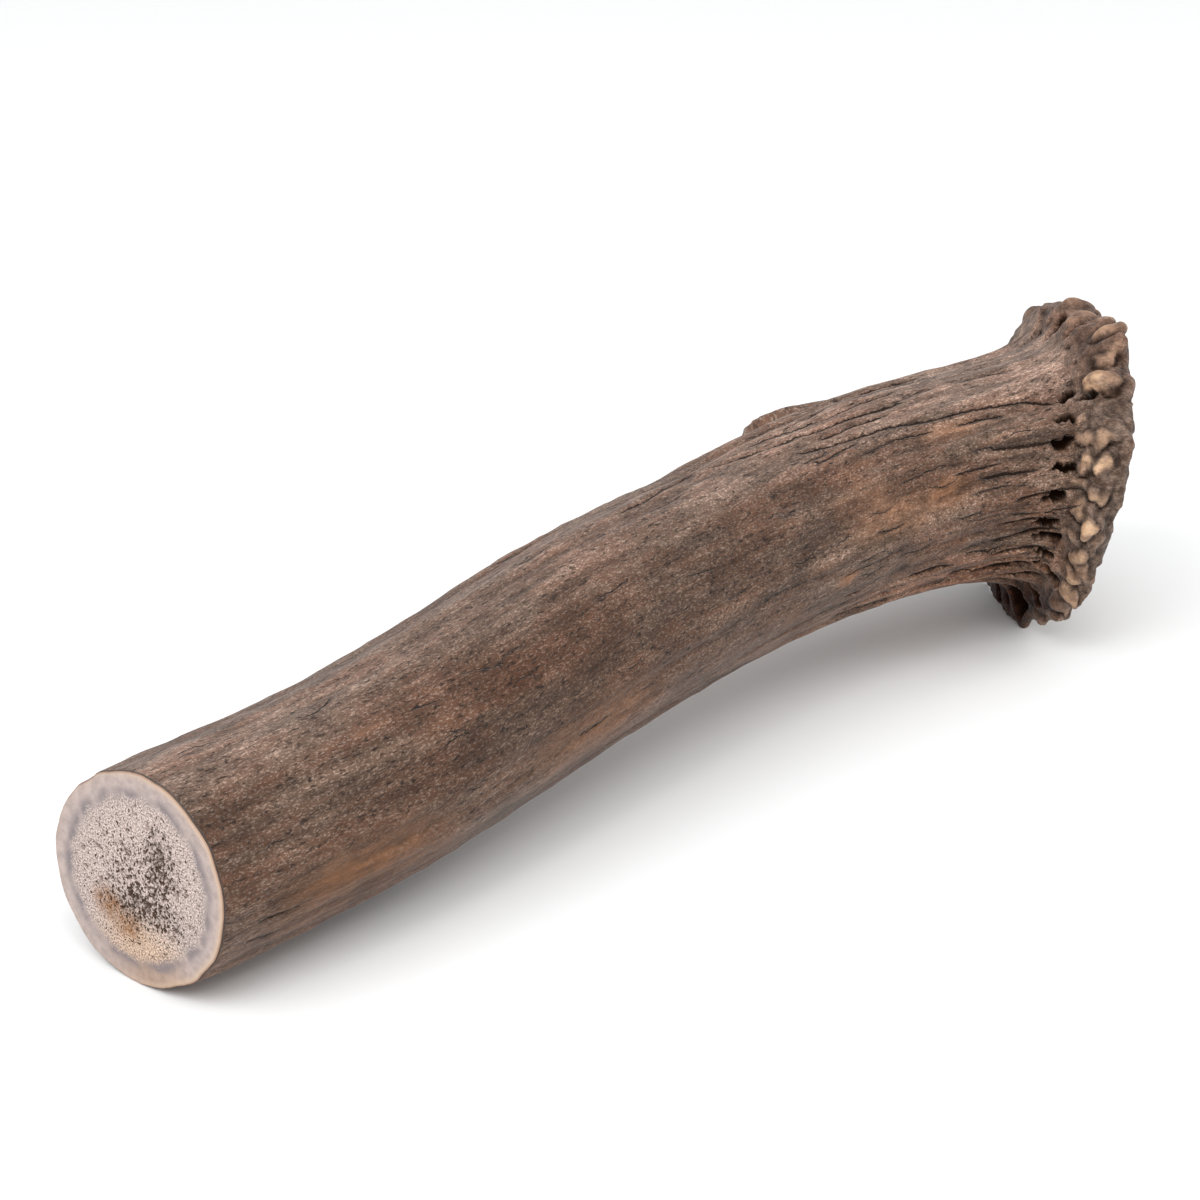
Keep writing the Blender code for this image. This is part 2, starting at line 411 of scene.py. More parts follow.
def smooth_curve(places, values):
    """The natural cubic spline through values at places, as a function of many places."""
    gaps = np.diff(places)
    slopes = np.diff(values, axis=0) / gaps[:, None]
    system = np.eye(len(places))
    load = np.zeros_like(values)
    for i in range(1, len(places) - 1):
        system[i, i - 1 : i + 2] = gaps[i - 1], 2 * (gaps[i - 1] + gaps[i]), gaps[i]
        load[i] = 6 * (slopes[i] - slopes[i - 1])
    bends = np.linalg.solve(system, load)

    def at(place):
        """The values and the slopes."""
        i = np.clip(np.searchsorted(places, place) - 1, 0, len(gaps) - 1)
        before = (place - places[i])[:, None]
        after = (places[i + 1] - place)[:, None]
        gap = gaps[i][:, None]
        low = values[i] / gap - bends[i] * gap / 6
        high = values[i + 1] / gap - bends[i + 1] * gap / 6
        cubic = (bends[i] * after**3 + bends[i + 1] * before**3) / (6 * gap)
        turn = (bends[i + 1] * before**2 - bends[i] * after**2) / (2 * gap)
        return cubic + low * after + high * before, turn + high - low

    return at


BEAM = smooth_curve(STATIONS[:, 0], STATIONS[:, 1:])


def eased(low, high, value):
    """0 below low, 1 above high, and a smooth step between them."""
    share = np.clip((value - low) / (high - low), 0, 1)
    return share * share * (3 - 2 * share)


def rising(share, span, value):
    """That share below the span, 1 above it, and a smooth step between them."""
    return share + (1 - share) * eased(*span, value)


def unit(vectors):
    """The vectors at length 1."""
    return vectors / np.linalg.norm(vectors, axis=-1, keepdims=True)


def facing(heading, pitch):
    """The unit vectors of headings and pitches in degrees."""
    turn, rise = np.radians(heading), np.radians(pitch)
    return np.stack((np.cos(rise) * np.cos(turn), np.cos(rise) * np.sin(turn), np.sin(rise)), -1)


def turned(angles, angle):
    """How far angles in radians are turned from one in degrees, the shorter way round."""
    return (angles - math.radians(angle) + math.pi) % TAU - math.pi


def sections(x):
    """The CAD part's sections at x: middles, ways they face, up and -Y sides, beam's radii."""
    past = np.maximum(x - BEAM_LENGTH, 0)
    inside = np.minimum(x, BEAM_LENGTH)
    value, slope = BEAM(inside)
    along = unit(np.column_stack((np.ones_like(x), slope[:, :2])))
    burr = facing(BURR_FACING[0] + BACK_TURN[0] * past, BURR_FACING[1] + BACK_TURN[1] * past)
    at_cut = 1 - eased(0, CUT_REACH, x)[:, None]
    at_burr = eased(BEAM_LENGTH - BURR_REACH, BEAM_LENGTH, x)[:, None]
    forward = unit(along + at_cut * (facing(*CUT_FACING) - along) + at_burr * (burr - along))
    up = unit(np.array((0.0, 0.0, 1.0)) - forward * forward[:, 2:])
    middle = np.column_stack((inside, value[:, :2])) + past[:, None] * facing(*BURR_FACING)
    return middle, forward, up, np.cross(forward, up), value[:, 2]


def noise(u, v, draw, wrap=None):
    """Smooth noise from -1 to 1 over cells one unit wide, repeating after wrap cells of v."""
    low_u, low_v = np.floor(u).astype(int), np.floor(v).astype(int)
    a, b = u - low_u, v - low_v
    a, b = a * a * (3 - 2 * a), b * b * (3 - 2 * b)
    low_u -= low_u.min()
    across = wrap if wrap else low_v.max() - low_v.min() + 2
    if not wrap:
        low_v -= low_v.min()
    table = np.random.default_rng(SEED + draw).uniform(-1, 1, (low_u.max() + 2, across))
    near, far = low_v % across, (low_v + 1) % across
    first = table[low_u, near] * (1 - b) + table[low_u, far] * b
    second = table[low_u + 1, near] * (1 - b) + table[low_u + 1, far] * b
    return first * (1 - a) + second * a


def chance_cracks():
    """Drying cracks by chance, laid out as the listed ones."""
    rng = np.random.default_rng(SEED + CRACK_DRAW)
    cracks = []
    for count, starts, lengths, bend, widths, depth in CHANCE_CRACKS:
        for _ in range(count):
            x, angle, length = rng.uniform(*starts), rng.uniform(0, 360), rng.uniform(*lengths)
            length = min(length, BEAM_LENGTH + CRACKS_END - x)
            turns, width = rng.normal(0, bend, 2), rng.uniform(*widths)
            places = [(x + length * share, angle + turn) for share, turn in zip((0.5, 1), turns)]
            cracks.append((width, width * depth, (x, angle), *places))
    return cracks


def hidden_pits():
    """Pits by chance on the side the photo doesn't show, laid out as the listed ones."""
    rng = np.random.default_rng(SEED + PIT_DRAW)
    pits = []
    for angle in np.arange(*HIDDEN_PIT_ANGLES):
        past = rng.uniform(*HIDDEN_PIT_PAST)
        angle = angle + rng.uniform(-HIDDEN_PIT_STRAY, HIDDEN_PIT_STRAY)
        half_length = rng.uniform(*HIDDEN_PIT_HALF_LENGTH)
        pits.append((past, angle, half_length, HIDDEN_PIT_HALF_WIDTH, HIDDEN_PIT_DEPTH))
    return pits


def too_near(run, angle, half_width, other):
    """Whether a cobble would crowd another one."""
    turn = (angle - other[1] + 180) % 360 - 180
    away = math.hypot(run - other[0], turn * RIM_MM_PER_DEGREE)
    return away <= CLEAR_SHARE * (half_width + other[3])


class Skin:
    """The rings of points from the rim of the sawn face to the middle of the seal."""

    def __init__(self):
        self.angles = np.arange(COLUMNS) * TAU / COLUMNS
        self.lay_rows()
        self.turn = np.broadcast_to(self.angles, (len(self.x), COLUMNS))
        self.length = np.broadcast_to(self.run[:, None], self.turn.shape)
        self.place = np.broadcast_to(self.x[:, None], self.turn.shape)
        self.set_base()

    def lay_rows(self):
        """Where each ring is: x, how far along the surface, and how far it has come to the rim."""
        first = BEVEL[0][0]
        end = BEAM_LENGTH + BURR_OUTLINE[0][0]
        plain = np.linspace(first, FINE_FROM, round((FINE_FROM - first) / PLAIN_STEP) + 1)
        fine = np.linspace(FINE_FROM, end, round((end - FINE_FROM) / FINE_STEP) + 1)
        beam_x = np.concatenate((plain, fine[1:-1]))
        front = [(past, 1 - share, share) for past, share in BURR_OUTLINE]
        back = [(past, 0, share) for past, share in SEAL_OUTLINE]
        outline = np.array(front + back)
        reach = outline[:, 1] * STATIONS[-1, 3] + outline[:, 2] * RIM_RADIUS
        steps = np.hypot(np.diff(outline[:, 0]), np.diff(reach))
        run = np.concatenate(([0], np.cumsum(steps)))
        crest = run[len(front) - 1]
        self.crest_end = end + crest
        flare = np.linspace(0, crest, round(crest / FLARE_STEP) + 1)
        seal = np.linspace(crest, run[-1], round((run[-1] - crest) / SEAL_STEP) + 1)
        path = np.concatenate((flare, seal[1:]))
        values = smooth_curve(run, outline)(path)[0]
        self.x = np.concatenate((beam_x, BEAM_LENGTH + values[:, 0]))
        self.run = np.concatenate((beam_x, end + path))
        self.beam_share = np.concatenate((np.ones_like(beam_x), values[:, 1]))
        self.rim_share = np.concatenate((np.zeros_like(beam_x), values[:, 2]))

    def run_at(self, past):
        """How far along the surface the burr's front is, at that distance past the beam."""
        front = self.run <= self.crest_end
        return np.interp(BEAM_LENGTH + past, self.x[front], self.run[front])

    def set_base(self):
        """The CAD part's own surface, without facets, with the visual model's own lumps."""
        middle, forward, up, side, radius = sections(self.x)
        beam = self.beam_radius(radius[:, None])
        past = (self.x - BEAM_LENGTH)[:, None]
        rim = RIM_RADIUS + sum(self.knob(past, *values) for values in (*KNOBS, *REAR_LUMPS))
        self.knobs = self.rim_share[:, None] * (rim - RIM_RADIUS)
        seal = eased(self.crest_end - 1, self.crest_end + 3, self.run)[:, None]
        rim = rim * (1 - seal) + RIM_RADIUS * seal
        self.radius = self.beam_share[:, None] * beam + self.rim_share[:, None] * rim
        out = np.cos(self.turn)[..., None] * up[:, None]
        out = out + np.sin(self.turn)[..., None] * side[:, None]
        self.points = middle[:, None] + self.radius[..., None] * out
        self.cut_centre = middle[0] - forward[0] * BEVEL[0][0]
        self.cut_forward = facing(*CUT_FACING)

    def beam_radius(self, mean_radius):
        """The beam's radius all round: an oval with ridges, and the bulge at the cut."""
        oval = 1 + OVALITY * np.cos(2 * (self.angles - math.radians(OVAL_ANGLE)))
        inside = np.minimum(self.x, BEAM_LENGTH)[:, None]
        share = rising(RIDGE_SHARE_AT_CUT, RIDGE_RISE, inside)
        share = share * rising(RIDGE_SHARE_AT_RIM, RIM_RIDGE_RISE, inside)
        beam = mean_radius * oval
        for count, tall, start in RIDGES:
            drift = RIDGE_DRIFT * np.sin(start + inside / RIDGE_DRIFT_LENGTH)
            beam = beam + tall * share * np.cos(count * self.angles + start + drift)
        tall, angle, gone = CUT_BULGE
        towards = np.clip(np.cos(self.angles - math.radians(angle)), 0, 1) ** 2
        return beam + tall * (1 - eased(0, gone, inside)) * towards

    def knob(self, past, angle, tall, place, width):
        """How far a knob on the burr stands out from the rim, all round it."""
        across = RIM_RADIUS * turned(self.angles, angle) / width
        return tall * np.exp(-(across**2) - ((past - place) / KNOB_LENGTH) ** 2)

    def spot(self, run, angle):
        """Distances in mm from a place on the skin, along it and round it."""
        return self.length - run, turned(self.turn, angle) * self.radius

    def bumps(self, layer, sway=0.0):
        """Noise over the skin, from its height, length, count and draw."""
        height, length, count, draw = layer
        return height * noise(self.length / length, (self.turn + sway) / TAU * count, draw, wrap=count)

    def furrow_relief(self):
        """Furrows along the grain by chance, and soft ridges between them."""
        strength = rising(FURROW_SHARE_AT_CUT, FURROW_RISE, self.place)
        relief = np.zeros_like(self.turn)
        sway = self.bumps(FURROW_SWAY)
        for draw, (count, length, depth, width) in enumerate(FURROWS, start=1):
            level = self.bumps((1, length, count, draw), sway)
            furrow = np.clip(1 - np.abs(level) / width, 0, 1) ** FURROW_SHARPNESS
            relief -= depth * strength * (furrow - FURROW_BANK)
        return relief + 0.5 * (1 + strength) * self.bumps(SOFT_RIDGES, sway)

    def crack_field(self):
        """Signed distance from the nearest drying crack, its half width there, and its groove."""
        gap = np.full(self.turn.shape, NO_CRACK)
        half_width, groove = np.zeros_like(self.turn), np.zeros_like(self.turn)
        wander = self.bumps(CRACK_WANDER)
        for width, deep, *places in (*CRACKS, *chance_cracks()):
            xs, angles = np.array(places, dtype=float).T
            rows = (self.run > xs[0]) & (self.run < xs[-1])
            run = self.run[rows]
            middle = np.radians(np.interp(run, xs, angles))[:, None]
            turn = (self.angles - middle + math.pi) % TAU - math.pi
            across = turn * self.radius[rows] + wander[rows]
            ends = np.clip(np.minimum(run - xs[0], xs[-1] - run) / CRACK_TAPER, 0, 1)[:, None]
            here = width * ends * np.clip(CRACK_REACH - abs(across), 0, 1)
            nearer = here > half_width[rows]
            gap[rows] = np.where(nearer, across, gap[rows])
            half_width[rows] = np.where(nearer, here, half_width[rows])
            cut_in = deep * ends * np.exp(-((across / GROOVE_WIDTH) ** 2))
            groove[rows] = np.maximum(groove[rows], cut_in)
        return gap, half_width, groove

    def pit_depth(self):
        """How deep the pits are where the beam meets the burr."""
        depth = np.zeros_like(self.turn)
        warp = sum(self.bumps(layer) for layer in PIT_WARP)
        pull = self.bumps(PIT_PULL)
        for past, angle, half_length, half_width, deep in (*PITS, *hidden_pits()):
            along, across = self.spot(self.run_at(past), angle)
            along = along + pull
            long_side = half_length * np.where(along < 0, PIT_TAIL, PIT_HEAD)
            narrowing = half_width * (1 - PIT_TAPER * np.clip(-along / long_side, 0, 1))
            reach = np.hypot(along / long_side, (across + warp) / narrowing)
            depth = np.maximum(depth, deep * (1 - eased(*PIT_WALL, reach)))
        return depth

    def cobble_places(self, first, last):
        """The listed cobbles, then those by chance between two places along the skin."""
        rng = np.random.default_rng(SEED + COBBLE_DRAW)
        places = [(self.run_at(past), *values) for past, *values in COBBLES]
        while len(places) < COBBLES_IN_ALL:
            run, angle = rng.uniform(first, last), rng.uniform(0, 360)
            half_width = rng.uniform(*LOOSE_HALF_WIDTH)
            if any(too_near(run, angle, half_width, other) for other in places):
                half_width *= CROWDED_SIZE
            half_length = half_width * rng.uniform(*LOOSE_STRETCH)
            places.append((run, angle, half_length, half_width, rng.uniform(*LOOSE_HEIGHT), 0.0))
        return places

    def cobble_relief(self):
        """Rounded cobbles over the burr: their relief, their polish and their creases, which are dark
        with painted shadow.
        """
        first, last = self.run_at(COBBLES_FROM), self.crest_end + 1
        rows = (self.run > first - 4) & (self.run < last + 3)
        warp_u, warp_v = (self.bumps(layer)[rows] for layer in COBBLE_WARP)
        heights, polish, crease = (np.zeros_like(warp_u) for _ in range(3))
        for run, angle, half_length, half_width, height, shine in self.cobble_places(first, last):
            along, across = (away[rows] for away in self.spot(run, angle))
            reach = np.hypot((along + warp_u) / half_length, (across + warp_v) / half_width)
            bulge = np.clip(DOME - reach**2, 0, DOME)
            heights += (height * bulge) ** DOME_BLEND
            polish = np.maximum(polish, shine * eased(*DOME_POLISHED, bulge))
            side = rising(CREASE_LIGHT_SIDE, CREASE_SIDES, across / half_width)
            edge = np.exp(-(((reach - CREASE_PLACE) / CREASE_WIDTH) ** 2))
            edge = edge * (shine > CREASED_POLISH)
            crease = np.maximum(crease * (bulge < CREASE_HIDDEN), side * edge)
        length = self.length[rows]
        fade = eased(first - 2.5, first + 1, length) * (1 - eased(last, last + 2, length))
        height = heights ** (1 / DOME_BLEND) - CREASE_DEPTH * crease - DOME_SINK
        results = [np.zeros_like(self.turn) for _ in range(3)]
        for result, values in zip(results, (height * fade, polish, crease)):
            result[rows] = values
        return results

    def burr_share(self):
        """0 on the beam, 1 on the burr."""
        return eased(self.run_at(-3), self.run_at(0.5), self.length)

    def seal_share(self):
        """0 before the seal, 1 on it."""
        return eased(self.crest_end - 0.5, self.crest_end + 2, self.length)

    def nodules(self):
        """Nodules on the seal, laid out flat so that they don't gather at its middle."""
        across, up = self.radius * np.sin(self.turn), self.radius * np.cos(self.turn)
        small, crossed, large = NODULES
        relief = small[0] * np.abs(noise(across / small[1], up / small[1], small[2])) - NODULE_SINK
        places = (across + up) / crossed[1], (up - across) / crossed[1]
        relief += crossed[0] * np.abs(noise(*places, crossed[2]))
        return relief + large[0] * noise(across / large[1], up / large[1], large[2])

    def fine_relief(self):
        """Lumps and fibres on the bark, grit on the burr, and nodules on the seal."""
        burr, seal = self.burr_share(), self.seal_share()
        bark = sum(self.bumps(layer) for layer in BARK_LUMPS)
        grit = self.bumps(BURR_GRIT) - BILLOW_MIDDLE
        grit += sum(np.abs(self.bumps(layer)) for layer in BURR_BILLOWS)
        return bark * (1 - burr) + grit * burr * (1 - seal) + self.nodules() * seal

    def shape(self):
        """Adds the relief along the surface's normals, and the stump of the brow tine."""
        furrows, pits, fine = self.furrow_relief(), self.pit_depth(), self.fine_relief()
        self.gap, self.half_width, groove = self.crack_field()
        cobbles, self.polish, creases = self.cobble_relief()
        outside = 1 - eased(self.crest_end, self.crest_end + 1, self.length)
        before_burr = 1 - eased(self.run_at(-2), self.run_at(1), self.length)
        at_cut = rising(RELIEF_SHARE_AT_RIM, RIM_RELIEF_RISE, self.length)
        self.polish *= 1 - eased(0.2, 0.8, pits)
        self.relief = ((furrows - groove) * before_burr - pits) * outside + cobbles + fine
        # Painted shade: pits, creases and crack grooves are drawn darker the deeper they are.
        dark = np.maximum(pits * PIT_DARKNESS, creases * CREASE_DARKNESS)
        dark = np.maximum(dark, groove * before_burr * GROOVE_DARKNESS)
        self.hollow = np.clip(dark, 0, 1) * outside
        # The materials paint shade and light by this: darker in hollows, lighter on crests.
        self.cavity = self.hollowness(self.relief + self.knobs)
        self.points += self.normals() * (self.relief * at_cut)[..., None]
        self.add_stump()

    def hollowness(self, height):
        """How far the surface lies below its own neighbourhood."""
        soft = height
        window = 2 * CAVITY_ROWS + 1
        for _ in range(CAVITY_ROUNDS):
            soft = (np.roll(soft, 1, axis=1) + 2 * soft + np.roll(soft, -1, axis=1)) / 4
            padded = np.pad(soft, ((CAVITY_ROWS, CAVITY_ROWS), (0, 0)), mode="edge")
            soft = sum(padded[i : i + len(soft)] for i in range(window)) / window
        return soft - height

    def normals(self):
        """The directions straight out of the surface, at its points."""
        along = np.gradient(self.points, axis=0)
        round_it = np.roll(self.points, -1, axis=1) - np.roll(self.points, 1, axis=1)
        return unit(np.cross(round_it, along) + 1e-12)

    def add_stump(self):
        """Draws the skin near the brow tine out to its sawn face, a plane across its axis."""
        middle, forward, up, side, _ = (part[0] for part in sections(np.array([STUMP_X])))
        turn = math.radians(STUMP_ANGLE)
        out = math.cos(turn) * up + math.sin(turn) * side
        place = self.points - middle
        along, across = place @ forward, place @ np.cross(out, forward)
        reach = abs(along / STUMP_HALF_LENGTH) ** STUMP_SQUARENESS
        reach = reach + abs(across / STUMP_HALF_WIDTH) ** STUMP_SQUARENESS
        reach = reach ** (1 / STUMP_SQUARENESS)
        near = (place @ out) > 0
        self.stump = near * (1 - eased(1, 1 + STUMP_FLANK, reach + self.bumps(STUMP_WOBBLE)))
        lift = np.maximum(STUMP_HEIGHT + STUMP_TILT * along - place @ out, 0) * self.stump
        self.points = self.points + lift[..., None] * out
        self.stump_reach = np.where(near, reach, 2)
        self.stump_place = np.stack((along, across), -1)


def face_rings(skin):
    """The rings of the sawn face from its bevelled rim inwards: points, depth from the rim."""
    forward, centre = skin.cut_forward, skin.cut_centre
    flat = skin.points[0] - centre
    flat = flat - (flat @ forward)[:, None] * forward
    reach = np.linalg.norm(flat, axis=1)
    out = flat / reach[:, None]
    rings, depths = [], []
    for behind, inset in BEVEL[1:]:
        rings.append(centre + forward * behind + out * (reach - inset)[:, None])
        depths.append(np.full(COLUMNS, inset))
    steps = round((reach.mean() - BEVEL[-1][1]) / FACE_STEP)
    for step in range(1, steps):
        inside = (reach - BEVEL[-1][1]) * (1 - step / steps)
        rings.append(centre + out * inside[:, None])
        depths.append(reach - inside)
    return np.array(rings), np.array(depths)


def face_axes(skin):
    """Across and up in the plane of the sawn face."""
    up = unit(np.array((0.0, 0.0, 1.0)) - skin.cut_forward * skin.cut_forward[2])
    return np.cross(skin.cut_forward, up), up


def pore_density(across, up):
    """How crowded the spongy core's pores are, from 0 to 1."""
    crowd = 0
    for share, x, y, width, height in PORE_CROWDS:
        crowd = crowd + share * np.exp(-(((across - x) / width) ** 2) - ((up - y) / height) ** 2)
    return np.clip(crowd, 0, 1)


def pore_depth(across, up, inward):
    """How deep the largest pores of the spongy core are at a place on the sawn face."""
    rng = np.random.default_rng(SEED + PORE_DRAW)
    places = rng.uniform(-PORE_SPREAD, PORE_SPREAD, (PORE_TRIES, 2))
    places = places[rng.uniform(0, 1, len(places)) < PORE_SHARE * pore_density(*places.T)]
    depth = np.zeros_like(across)
    for place in places:
        radius = rng.uniform(*PORE_RADIUS)
        near = np.hypot(across - place[0], up - place[1]) / radius
        depth = np.maximum(depth, rng.uniform(0.5, 1) * (1 - eased(*PORE_WALL, near)))
    return depth * eased(*PORES_FROM, inward)


def join_rings(skin, face_rows):
    """The faces between the rings and in the fans at both ends, and their material slots."""
    rows = len(skin.x)
    j = np.arange(COLUMNS)
    k = (j + 1) % COLUMNS
    sawn = skin.stump > STUMP_FACE_COVER
    quads, slots = [], []
    for row in range(rows - 1):
        low, high = row * COLUMNS, (row + 1) * COLUMNS
        quads.append(np.stack((low + j, low + k, high + k, high + j), -1))
        slots.append(sawn[row] & sawn[row + 1])
    order = [0, *range(rows, rows + face_rows)]
    for outer, inner in zip(order[:-1], order[1:]):
        low, high = outer * COLUMNS, inner * COLUMNS
        quads.append(np.stack((low + j, high + j, high + k, low + k), -1))
        slots.append(np.full(COLUMNS, outer != 0))
    last_side, last_face = (rows - 1) * COLUMNS, order[-1] * COLUMNS
    cut = np.full(COLUMNS, (rows + face_rows) * COLUMNS)
    fans = [np.stack((cut, last_face + k, last_face + j), -1)]
    fans.append(np.stack((last_side + j, last_side + k, cut + 1), -1))
    slots.extend((np.ones(COLUMNS), np.zeros(COLUMNS)))
    faces = [*np.vstack(quads).tolist(), *np.vstack(fans).tolist()]
    return faces, np.concatenate(slots).astype(np.int32)


def store(mesh, name, *parts):
    """Stores a number on each point: the skin's, the sawn face's, its middle's, the seal's."""
    values = np.concatenate([np.ravel(part) for part in parts]).astype(np.float32)
    mesh.attributes.new(name, "FLOAT", "POINT").data.foreach_set("value", values)


def store_vector(mesh, name, side, face):
    """Stores a vector on each point."""
    values = np.concatenate((side.reshape(-1, 3), face.reshape(-1, 3), np.zeros((2, 3))))
    layer = mesh.attributes.new(name, "FLOAT_VECTOR", "POINT")
    layer.data.foreach_set("vector", values.astype(np.float32).ravel())


def make_antler(cut_centre):
    """The whole antler as one closed mesh, with what its materials read stored on its points."""
    skin = Skin()
    skin.shape()
    rings, depths = face_rings(skin)
    across, up = ((rings - skin.cut_centre) @ axis for axis in face_axes(skin))
    pores = pore_depth(across, up, depths)
    rings = rings + skin.cut_forward * (PORE_DEPTH * pores)[..., None]
    seal_middle = skin.points[-1].mean(axis=0)
    side, face = skin.points.reshape(-1, 3), rings.reshape(-1, 3)
    points = np.vstack((side, face, skin.cut_centre, seal_middle))
    points = points + (cut_centre - skin.cut_centre)
    points[:, 2] = np.maximum(points[:, 2], FLOOR_GAP)

    mesh = bpy.data.meshes.new("antler_skin")
    faces, slots = join_rings(skin, len(rings))
    mesh.from_pydata((points * MM).tolist(), [], faces)
    mesh.polygons.foreach_set("material_index", slots)
    mesh.shade_smooth()

    up_skin, side_skin = skin.radius * np.cos(skin.turn), skin.radius * np.sin(skin.turn)
    grain = np.stack((skin.length, up_skin, side_skin), -1)
    flat = np.stack((across, up, np.zeros_like(up)), -1)
    stump_flat = skin.stump_place + STUMP_PATTERN_SHIFT
    stump_flat = np.concatenate((stump_flat, np.zeros((*skin.turn.shape, 1))), -1)
    stump_inward = (1 - skin.stump_reach) * STUMP_HALF_WIDTH * STUMP_CORE_SCALE
    none = np.zeros_like(depths)
    store_vector(mesh, "grain", grain, np.zeros_like(flat))
    store_vector(mesh, "flat", stump_flat, flat)
    for name in ("hollow", "relief", "polish", "cavity", "half_width", "stump"):
        store(mesh, name, getattr(skin, name), none, 0, 0)
    store(mesh, "burr", skin.burr_share(), none, 0, 1)
    store(mesh, "seal", skin.seal_share(), none, 0, 1)
    store(mesh, "inward", stump_inward, depths, FACE_MIDDLE_DEPTH, 0)
    store(mesh, "pore", np.zeros_like(skin.turn), pores, 0, 0)
    store(mesh, "gap", skin.gap, none + NO_CRACK, NO_CRACK, NO_CRACK)
    antler = bpy.data.objects.new("antler_skin", mesh)
    bpy.context.scene.collection.objects.link(antler)
    return antler


# --- Materials ---------------------------------------------------------------------------------

# Stains on the bark: x, angle, length, width, strength. They lie about this far from its middle.
STAIN_RADIUS = 20.0
DARK_STAINS = (
    (58, 41, 14, 8, 0.7),
    (60, 56, 8, 6, 0.5),
    (109, 6, 9, 5, 0.35),
    (149, 42, 12, 6, 0.25),
    (78, 32, 9, 6, 0.4),
    (70, 64, 26, 13, 0.5),
    (40, 66, 22, 12, 0.3),
    (30, 200, 30, 14, 0.5),
    (120, 240, 40, 12, 0.5),
)
WARM_STAINS = (
    (151, 61, 16, 5, 0.35),
    (158, 76, 20, 5, 0.5),
    (181, 45, 14, 4, 0.5),
    (176, 72, 12, 5, 0.6),
    (129, 103, 5, 3, 0.8),
    (143, 96, 5, 3, 0.6),
    (25, 100, 24, 10, 0.9),
    (75, 95, 25, 8, 0.5),
)
BARK_BROWN = (0.11, 0.052, 0.03)
BARK_GREY = (0.093, 0.057, 0.039)
BARK_PALE = (0.28, 0.2, 0.158)
BARK_DARK = (0.014, 0.007, 0.004)
BARK_WARM = (0.16, 0.07, 0.03)
# Painted sheen: the grey that the top of the bark is mixed towards.
BARK_TOP_SHEEN = (0.125, 0.095, 0.083)
# The near-black of the cracks, and of the painted shade in pits, creases and grooves.
HOLLOW_BROWN = (0.013, 0.005, 0.002)
BURR_DARK = (0.045, 0.025, 0.016)
BURR_LIGHT = (0.175, 0.122, 0.094)
KNOB_BROWN = (0.3, 0.165, 0.09)
KNOB_TAN = (0.62, 0.39, 0.225)
SEAL_DARK = (0.1, 0.066, 0.048)
SEAL_BONE = (0.27, 0.19, 0.138)
# Tints that colours are multiplied by: in stains, below, on the burr's top, and under the burr, where
# the tint is painted shade.
STAIN_TINT = (0.56, 0.46, 0.39)
WARM_TINT = (1.16, 1.0, 0.86)
CREST_TINT = (0.86, 0.64, 0.53)
UNDER_BURR_SHADE = (0.22, 0.12, 0.09)
SHEEN = {"Sheen Weight": 0.22, "Sheen Roughness": 0.3, "Sheen Tint": (1.0, 0.94, 0.9)}

IVORY = (0.4, 0.32, 0.295)
IVORY_CREAM = (0.36, 0.25, 0.185)
RING_GREY = (0.18, 0.15, 0.155)
CORE_LIGHT = (0.47, 0.38, 0.345)
CORE_CREAM = (0.52, 0.375, 0.28)
CORE_DARK = (0.04, 0.019, 0.008)
STAIN_OCHRE = (0.24, 0.105, 0.035)
EDGE_CREAM = (0.56, 0.4, 0.28)
RIM_BROWN = (0.25, 0.13, 0.075)


